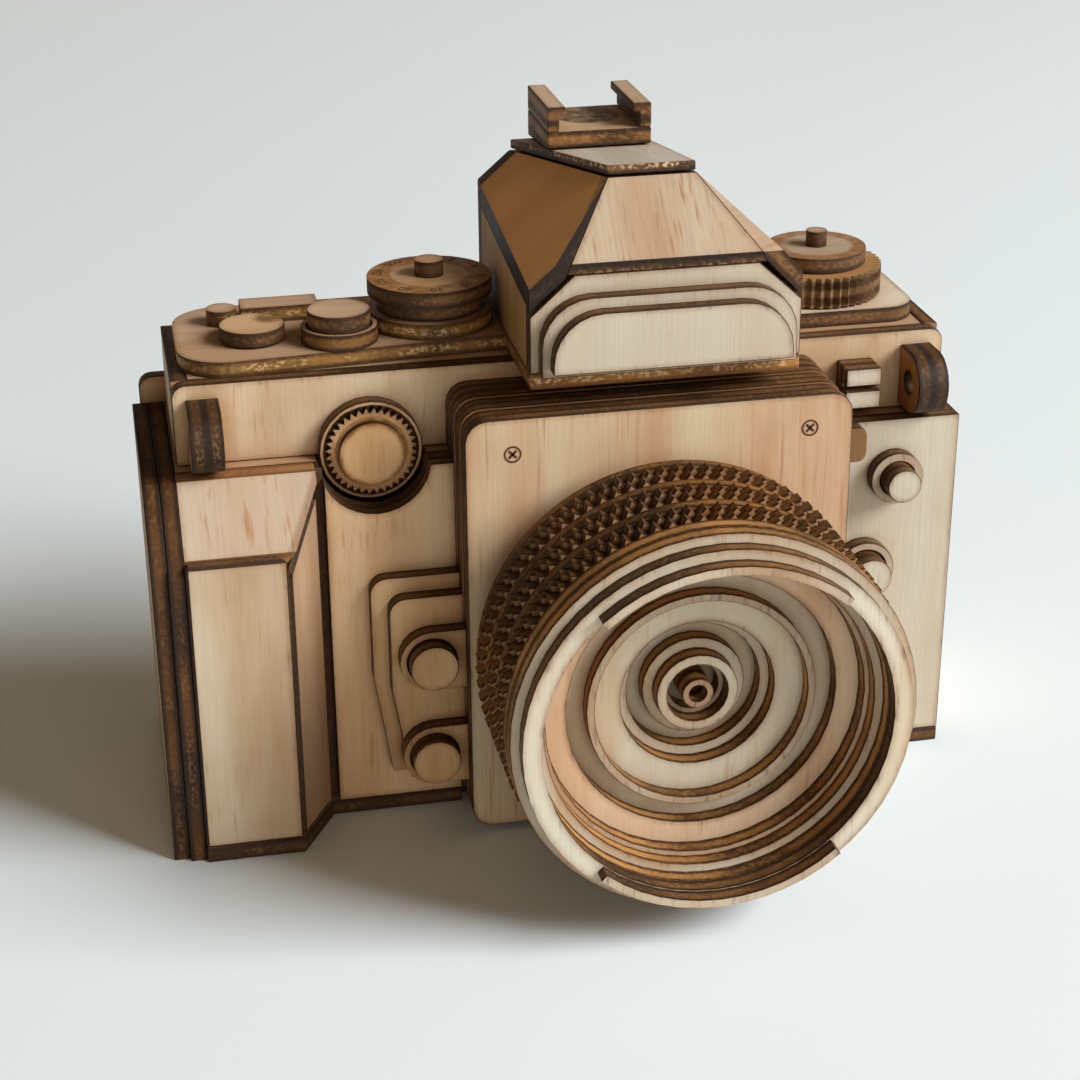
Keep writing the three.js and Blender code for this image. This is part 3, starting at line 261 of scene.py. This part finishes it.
X, Y, Z = Vector((1, 0, 0)), Vector((0, 1, 0)), Vector((0, 0, 1))
pale_wood = {"pale": "#C9BFAB", "tan": "#C1AF94", "streaks": 0.3, "smoke_and_shade": 0.35}
dress("base_plate", plywood("birch_plywood_base", Z, X, pale="#CDAE8C", tan="#B08860", gold="#5A3A1C"))
# The shelf's browner tone and heavy darkening under the housing are partly smoke and partly painted shade.
dress("lower_top", plywood("smoked_and_shaded_plywood_shelf", Z, X, pale="#C9A482", tan="#B58C66", smoke_and_shade=0.7))
dress("lower_front", plywood("birch_plywood_lower_front", Y, Z, buried=0.5, **pale_wood))
# The left part of the lower front is warmer and lighter than the right part: painted warm bounce light in its
# shade.
dress("lower_front_left", plywood("birch_plywood_lower_left", Y, Z, pale="#E6C8A0", tan="#D2A67A"))
# The rear cover's brown tone is painted shade, the back and left end being away from the window.
dress("rear_cover", plywood("shaded_plywood_rear", Y, Z, pale="#CCAC80", tan="#B28A5C", smoke_and_shade=0.6))
dress("right_end", plywood("birch_plywood_end", X, Z, pale="#CBB89B", tan="#B79774"))

# Grip: two side plates beside each other, a front panel, a sloping shoulder and a chamfer.
# The panels are mitred, so a thin burnt line shows along the corners.
# The side plates face left, away from the window: their brown tones and dark edges are painted shade.
grip_side_ply = plywood("shaded_plywood_grip_side", X, Z, pale="#C0A078", tan="#A07A50", smoke_and_shade=0.7,
                        char="#241406", gold="#5A3612", core="#A87C48")
dress("grip_side_inner", grip_side_ply)
dress("grip_side_outer", grip_side_ply)
PANEL_CREASE = 15
mitre, chamfer_mitre = 0.0005, 0.0011
front_ply = plywood("birch_plywood_front", Y, Z, pale="#CBB89B", tan="#B79774")
dress("grip_front", front_ply, mitre, PANEL_CREASE)
shoulder_face, shoulder_rise = Vector((0, -1, 1)), Vector((0, 1, 1))
shoulder_ply = plywood("birch_plywood_shoulder", shoulder_face, shoulder_rise, pale="#C5AF95", tan="#B89779",
                       streaks=0.7, streak_mm=(10, 1.3), char="#7A5028", gold="#A8794A")
dress("grip_slope", shoulder_ply, mitre, PANEL_CREASE)
chamfer_across, chamfer_back = 6.8, 12.0
chamfer_face = Vector((chamfer_back, -chamfer_across, 0))
chamfer_ply = plywood("birch_plywood_chamfer", chamfer_face, Z, pale="#AE8F70", tan="#997452", smoke_and_shade=0.6)
dress("grip_chamfer", chamfer_ply, chamfer_mitre, PANEL_CREASE)

# Upper housing: a front panel, a wall round the ends and back, and a flush top plate.
# The front is browned round the fittings glued on it, partly by laser smoke and partly as painted shade.
lug_low, lug_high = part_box("strap_lug_left")
# Round the left strap lug: a painted shadow and warm reflection of the lug.
lug_shadow_ring = {"centre": (lug_low + lug_high) / 2, "start_mm": -9.0, "end_mm": 3.2, "fade_mm": 4.5,
              "tone": "#B08450"}
dress("upper_front", plywood("birch_plywood_upper_front", Y, Z, smoke_and_shade=0.65, burnt_ring=lug_shadow_ring))
dress("upper_walls", plywood("birch_plywood_wall", X, Z, pale="#C8AC86", tan="#AE8860", smoke_and_shade=0.6,
                             also_face=Y))
flat_ply = plywood("birch_plywood_flat", Z, X, pale="#CDAE8C", tan="#B08860", gold="#7E5628")
dress("upper_top", flat_ply)

# Lens mount: five square sheets glued in a stack, every second one a little smaller.
# Its face shows redder streaks on the right and two screws burnt in by the laser.
dress("mount_stack", plywood("scorched_plywood_mount", Y, Z, pale="#8E683E", tan="#5E3E20", gold="#6A4522"))
dress("mount_face", plywood("birch_plywood_mount", Y, Z, pale="#D1BD99", tan="#C2946E", streak="#A45C34",
                            streaks=0.6, streak_mm=(26, 1.0)))

# One burnt tone for the laser's marks, also laid as painted shade in the grip's groove.
burn_and_shade = bpy.data.materials.new("burnt_line_and_shade")
burn_and_shade.use_nodes = True
mark_tree = burn_and_shade.node_tree
mark_shader = mark_tree.nodes["Principled BSDF"]
speck_mm = 0.8
mark_place = add(mark_tree, "ShaderNodeTexCoord", {}, out="Object")
mark_specks = add(mark_tree, "ShaderNodeTexNoise", {"Vector": mark_place, "Scale": 1000 / speck_mm,
                                                    "Detail": 2.0})
burn_and_shade_tone = add(mark_tree, "ShaderNodeMix", {"Factor": mark_specks, 6: linear("#2A180B"),
                                             7: linear("#6A4424")}, out=2, data_type="RGBA")
mark_tree.links.new(burn_and_shade_tone, mark_shader.inputs["Base Color"])
mark_shader.inputs["Roughness"].default_value = 0.8


def burn_and_shade_mark(name, body, build, place):
    shape = bmesh.new()
    build(shape)
    mesh = bpy.data.meshes.new(name)
    shape.transform(place)
    shape.to_mesh(mesh)
    shape.free()
    mesh.materials.append(burn_and_shade)
    mark = bpy.data.objects.new(name, mesh)
    scene.collection.objects.link(mark)
    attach(mark, body)


MARK_PROUD = 0.00004


def add_strip(shape, points):
    low = [shape.verts.new((x, y, 0)) for x, y in points]
    high = [shape.verts.new((x, y, MARK_PROUD)) for x, y in points]
    shape.faces.new(reversed(low))
    shape.faces.new(high)
    for i in range(len(points)):
        j = (i + 1) % len(points)
        shape.faces.new((low[i], low[j], high[j], high[i]))


def bar(length, width, turn):
    along = Vector((math.cos(turn), math.sin(turn))) * length / 2
    across = Vector((-math.sin(turn), math.cos(turn))) * width / 2
    return [-along - across, along - across, along + across, across - along]


def screw_head(shape):
    radius, line, steps = 0.0016, 0.00036, 28
    slot_length, slot_width = 0.0020, 0.0005
    for i in range(steps):
        turns = [2 * math.pi * k / steps for k in (i, i + 1)]
        corners = [(r * math.cos(t), r * math.sin(t))
                   for r, t in ((radius, turns[0]), (radius, turns[1]), (radius - line, turns[1]),
                                (radius - line, turns[0]))]
        add_strip(shape, corners)
    for turn in (math.pi / 4, 3 * math.pi / 4):
        add_strip(shape, bar(slot_length, slot_width, turn))


stand_up = Matrix.Rotation(math.pi / 2, 4, "X")
mount_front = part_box("mount_face")[0].y
for name, x, z in (("screw_left", -0.01465, 0.0761), ("screw_right", 0.0397, 0.0764)):
    burn_and_shade_mark(name, "body", screw_head, Matrix.Translation((x, mount_front, z)) @ stand_up)

# Groove beside the grip's chamfer: the lower front shows between two sheets there, and a strip
# in the burnt tone is laid on it as painted shade.
seam_tuck = 0.0001
seam_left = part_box("grip_chamfer")[1].x - chamfer_mitre - seam_tuck
seam_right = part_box("lower_front_left")[0].x
seam_foot, seam_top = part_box("lower_front_left")[0].z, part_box("lower_front")[1].z


def seam_line(shape):
    add_strip(shape, [(seam_left, seam_foot), (seam_right, seam_foot), (seam_right, seam_top),
                      (seam_left, seam_top)])


lower_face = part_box("lower_front")[0].y
burn_and_shade_mark("grip_seam", "body", seam_line, Matrix.Translation((0, lower_face, 0)) @ stand_up)

# Lens: rings and discs cut from the same sheet and stacked on one axis, pale on their faces
# and burnt in their bores. The hood carries a tab above and one below.
ring_eased = 0.00012
lens_wood = {"streaks": 0.35, "smoke_and_shade": 0.3, "rim": 0.85}
golden_bore = {"char": "#3C240E", "gold": "#B88244"}
lens_ply = plywood("birch_plywood_lens", Y, Z, pale="#D2C8B2", tan="#C8AE8A", **lens_wood, **golden_bore)
for name in ("lens_barrel", "lens_steps_inner", "hood_rear", "lens_rim", "lens_boss", "centre_tube"):
    dress(name, lens_ply, ring_eased)
lens_floor_ply = plywood("birch_plywood_lens_floor", Y, Z, pale="#DCC2A2", tan="#D2A780", **lens_wood,
                         **golden_bore)
dress("lens_steps_outer", lens_floor_ply, ring_eased)
hood_ply = plywood("birch_plywood_hood_front", Y, Z, pale="#D2C8B2", tan="#C8AE8A", char="#2A190B",
                   gold="#7A5228", **lens_wood)
dress("hood_front", hood_ply, ring_eased)

# Focus ring: nine sheets round the barrel, in three rows of two toothed sheets set half a
# pitch apart and a plain one. It turns by hand, and its teeth are burnt nearly black.
ring_low, ring_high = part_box("focus_ring")
ring_middle = (ring_low + ring_high) / 2
ring_teeth, tooth_depth = 84, 0.0016
ring_layers, layer_gap = 9, 0.00003
band_drop, ring_wall = 0.0008, 0.0057
tip_radius = (ring_high.x - ring_low.x) / 2
root_radius = tip_radius - tooth_depth
band_radius = tip_radius - band_drop
bore_radius = tip_radius - ring_wall
layer_depth = (ring_high.y - ring_low.y) / ring_layers
corners = 2 * ring_teeth
ring_shape = bmesh.new()
for layer in range(ring_layers):
    shifted, plain = layer % 3 == 1, layer % 3 == 2
    front = ring_low.y + layer * layer_depth
    back = front + layer_depth - (layer_gap if layer < ring_layers - 1 else 0)
    turns = [(i + shifted) * math.pi / ring_teeth for i in range(corners)]
    outer = [band_radius if plain else tip_radius if i % 2 else root_radius for i in range(corners)]
    bore = [bore_radius] * corners
    rows = [[ring_shape.verts.new((ring_middle.x + radius * math.cos(turn), y,
                                   ring_middle.z + radius * math.sin(turn)))
             for radius, turn in zip(radii, turns)]
            for radii, y in ((outer, front), (outer, back), (bore, back), (bore, front))]
    for a, b in zip(rows, rows[1:] + rows[:1]):
        for i in range(corners):
            j = (i + 1) % corners
            ring_shape.faces.new((a[i], a[j], b[j], b[i]))
bmesh.ops.recalc_face_normals(ring_shape, faces=ring_shape.faces)
ring_mesh = bpy.data.meshes.new("focus_ring_fine")
ring_shape.to_mesh(ring_mesh)
ring_shape.free()
ring_mesh.materials.append(plywood("scorched_plywood_ring", Y, Z, pale="#D9C3A0", tan="#B48A5A", smoke_and_shade=0.6,
                                   rim=0.9, char="#2E1A0A", gold="#86561F", lit_core=0.25))
focus_ring = bpy.data.objects.new("focus_ring_fine", ring_mesh)
focus_ring["sheet_start"] = ring_low.y
scene.collection.objects.link(focus_ring)
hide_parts("focus_ring")
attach(focus_ring, "focus_ring")

# Viewfinder prism: flat panels butted into a faceted roof over a three-layer front plate.
# The front plate is the palest piece, and the left wall is a browner copy of the right one: painted shade.
pale_ply = plywood("birch_plywood_pale_front", Y, Z, **pale_wood)
for name in ("nameplate_rear", "nameplate_middle"):
    dress(name, pale_ply)
dress("nameplate_front", plywood("birch_plywood_smooth_front", Y, Z, pale="#C8BCA7", tan="#C3B39A",
                                 streaks=0.1, smoke_and_shade=0.2, combed=0.02))
for name in ("prism_rear", "eyepiece_frame"):
    dress(name, front_ply)
dress("prism_base", plywood("birch_plywood_prism_base", Z, X, char="#74491F", gold="#B07A3C", core="#E4C290",
                            lit_core=0.75))
dress("prism_wall_left", plywood("birch_plywood_shaded_side", X, Z, pale="#B9925E", tan="#966634", smoke_and_shade=0.7))
dress("prism_wall_right", plywood("birch_plywood_right_wall", X, Z, pale="#C8AC86", tan="#AE8860"))


def face_of(name):
    largest = max(nodes[name].data.polygons, key=lambda polygon: polygon.area)
    return largest.normal.copy()


def up_the_slope(face):
    return (Z - face * face.z).normalized()


# The right facet is cut from the same board as the front slope, and runs on from it without an edge.
slope_wood = {"pale": "#BBA488", "tan": "#AD8A69", "streak": "#96603A", "streaks": 0.7, "streak_mm": (7, 0.8),
              "combed": 0.1}
slope_eased = 0.0001
for name, bevel, tones in (
        ("prism_facet_left", EASED, {"pale": "#DC9E5C", "tan": "#D49654", "streaks": 0.0, "smoke_and_shade": 0.2,
                                     "char": "#1F130A", "gold": "#2E1C0C", "lit_core": 0.05}),
        ("prism_facet_right", 0, {**slope_wood, "also_face": face_of("prism_slope"), "rim": 0.0, "smoke_and_shade": 0.0,
                                  "buried": 0.01}),
        ("prism_slope", slope_eased, {**slope_wood, "char": "#1F130A", "gold": "#5A3A1C", "lit_core": 0.4}),
        ("prism_roof", EASED, {"pale": "#CDC1AF", "tan": "#BDAB94", "streaks": 0.3, "core": "#D9B98C",
                               "lit_core": 0.9, "char": "#2A190C"})):
    face = face_of(name)
    dress(name, plywood("birch_plywood_" + name, face, up_the_slope(face), **tones), bevel, PANEL_CREASE)

# Accessory shoe: a level floor on a wedge and two lipped rails, glued on the roof.
# The floor was engraved over its back part, so it is mottled brown there.
shoe_low, shoe_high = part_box("shoe_base")
engraved_back = Vector((0, 0.0024, 0))
engraved = {"centre": (shoe_low + shoe_high) / 2 + engraved_back, "start_mm": 0.0, "end_mm": 6.6,
            "fade_mm": 0.5, "tone": "#4E3319"}
dress("shoe_base", plywood("engraved_plywood_shoe", Z, X, pale="#CDB08A", tan="#B8946A", gold="#9A6A34",
                           core="#C99A5C", burnt_ring=engraved))
rail_ply = plywood("smoked_plywood_rail", Z, Y, pale="#C2A486", tan="#AA8864", gold="#8A5E30")
dress("shoe_rail_left", rail_ply)
dress("shoe_rail_right", rail_ply)

# Top decks, and the dials and buttons that stand on them, all cut from flat sheet.
# The dials turn on spindles; the shutter dial's rim is scorched and numbered.
for name in ("shutter_collar", "shutter_button"):
    dress(name, flat_ply)
dress("deck_left", plywood("birch_plywood_deck_left", Z, X, pale="#CBAA8A", tan="#AE865E", char="#4A3014",
                           gold="#9A6E32", core="#DDBB88", lit_core=0.65))
dress("deck_right", plywood("birch_plywood_deck_right", Z, X, pale="#E6D6BC", tan="#D6BC98", streaks=0.3))


def dial_top(name):
    low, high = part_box(name)
    return Vector(((low.x + high.x) / 2, (low.y + high.y) / 2, high.z))


shutter_top = dial_top("shutter_dial")
scorched_rim = {"centre": shutter_top, "start_mm": 7.6, "end_mm": 12.5, "fade_mm": 0.5, "tone": "#96622A"}
dress("shutter_dial", plywood("scorched_plywood_dial", Z, X, pale="#CDA678", tan="#B98B58",
                              burnt_ring=scorched_rim))


def burnt_numbers(shape):
    numbers = ("1", "2", "4", "8", "15", "30", "60", "125", "250", "500")
    number_height, number_radius = 0.0026, 0.0096
    for i, number in enumerate(numbers):
        letters = bpy.data.curves.new("number", "FONT")
        letters.body = number
        letters.size = number_height
        letters.align_x = "CENTER"
        letters.align_y = "CENTER"
        letters.extrude = MARK_PROUD / 2
        text = bpy.data.objects.new("number", letters)
        scene.collection.objects.link(text)
        written = bpy.data.meshes.new_from_object(text.evaluated_get(bpy.context.evaluated_depsgraph_get()))
        turn = 2 * math.pi * i / len(numbers)
        spot = Vector((number_radius * math.sin(turn), number_radius * math.cos(turn), MARK_PROUD / 2))
        written.transform(Matrix.Translation(spot) @ Matrix.Rotation(-turn, 4, "Z"))
        shape.from_mesh(written)
        bpy.data.objects.remove(text)
        bpy.data.meshes.remove(written)


pin_height = 0.003
numbers_level = shutter_top - Z * pin_height
burn_and_shade_mark("shutter_numbers", "shutter_dial", burnt_numbers, Matrix.Translation(numbers_level))

mode_spot = {"centre": dial_top("mode_dial") + Vector((0.0034, 0.0026, 0)), "start_mm": -3.0, "end_mm": 2.6,
             "fade_mm": 1.6, "tone": "#7A5426"}
dress("mode_dial", plywood("birch_plywood_mode_dial", Z, X, pale="#CFA77A", tan="#BC8E5E",
                           burnt_ring=mode_spot))
right_rim = {"centre": dial_top("right_dial_upper"), "start_mm": 6.8, "end_mm": 10.5, "fade_mm": 1.2,
             "tone": "#8E5E32"}
dress("right_dial_upper", plywood("birch_plywood_right_dial", Z, X, pale="#BCA488", tan="#A08462",
                                  burnt_ring=right_rim))
dress("right_dial_lower", plywood("scorched_plywood_right_dial", Z, X, pale="#B88A58", tan="#96683A",
                                  char="#80623E", gold="#3E2812"), bevel=0)

# Front controls: a toothed dial in a ring, a stepped bracket with two buttons, two more
# buttons in rings, and a small stepped block, all glued on the front.
dial_low, dial_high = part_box("front_dial")
dial_groove = {"centre": (dial_low + dial_high) / 2, "start_mm": 5.9, "end_mm": 7.1, "fade_mm": 0.5,
               "tone": "#7E5018"}
dress("front_dial", plywood("birch_plywood_front_dial", Y, Z, pale="#D3AB7D", tan="#C1905C",
                            burnt_ring=dial_groove), bevel=0)
brown_ply = plywood("birch_plywood_brown_front", Y, Z, pale="#D2AE80", tan="#BA8F60", smoke_and_shade=0.6)
for name in ("front_dial_seat", "fn_bracket", "fn_button_upper", "fn_button_lower"):
    dress(name, brown_ply)
for name in ("side_button_ring", "side_button", "release_ring", "release_button", "front_block"):
    dress(name, pale_ply)

# Strap lugs: two sheets each, glued face to face and standing end on to the front.
# Both are nearly all cut edge, so they are among the darkest pieces.
lug_ply = plywood("scorched_plywood_lug", X, Z, pale="#B08446", tan="#8E602A", char="#26170A", gold="#4E3216",
                  smoke_and_shade=0.7)
dress("strap_lug_left", lug_ply)
dress("strap_lug_right", lug_ply)

# Floor and light: a white painted table, lit by one broad window on the right. The room is dim
# and brown above its grey walls, with a weak bounce from in front and one from behind.
table_half = 6
table = bpy.data.meshes.new("table")
table.from_pydata([(-table_half, -table_half, 0), (table_half, -table_half, 0), (table_half, table_half, 0),
                   (-table_half, table_half, 0)], [], [(0, 1, 2, 3)])
floor = bpy.data.objects.new("table", table)
scene.collection.objects.link(floor)
paint = bpy.data.materials.new("white_painted_table")
paint.use_nodes = True
paint_shader = paint.node_tree.nodes["Principled BSDF"]
paint_shader.inputs["Base Color"].default_value = linear("#F0F7F6")
paint_shader.inputs["Roughness"].default_value = 0.6
paint_shader.inputs["Specular IOR Level"].default_value = 0.1
table.materials.append(paint)

room = bpy.data.worlds.new("room")
room.use_nodes = True
room_tree = room.node_tree
ray = add(room_tree, "ShaderNodeTexCoord", {}, out="Generated")
ray_rise = add(room_tree, "ShaderNodeSeparateXYZ", {"Vector": ray}, out="Z")
above = add(room_tree, "ShaderNodeMapRange", {"Value": ray_rise, "From Min": 0.2, "From Max": 0.4})
walls = add(room_tree, "ShaderNodeMix", {"Factor": above, 6: linear("#9C9B98"), 7: linear("#5C4B36")}, out=2,
            data_type="RGBA")
room_tree.links.new(walls, room_tree.nodes["Background"].inputs["Color"])
scene.world = room
lit_middle = Vector((0, -0.02, 0.05))
for name, azimuth, elevation, distance, width, height, power, tint in (
        ("window", 61, 33, 3.2, 1.9, 1.5, 166.0, "#F3F7FD"),
        ("wall_bounce", 5, 12, 2.1, 1.2, 0.8, 7.0, "#FFF2E0"),
        ("back_bounce", 178, 6, 1.6, 0.9, 0.26, 1.2, "#FFF4E6")):
    lamp = bpy.data.lights.new(name, "AREA")
    lamp.shape = "RECTANGLE"
    lamp.size = width
    lamp.size_y = height
    lamp.energy = power
    lamp.color = linear(tint)[:3]
    light = bpy.data.objects.new(name, lamp)
    scene.collection.objects.link(light)
    side, rise = math.radians(azimuth), math.radians(elevation)
    towards = Vector((math.sin(side) * math.cos(rise), -math.cos(side) * math.cos(rise), math.sin(rise)))
    light.location = lit_middle + towards * distance
    light.rotation_mode = "QUATERNION"
    light.rotation_quaternion = (-towards).to_track_quat("-Z", "Y")
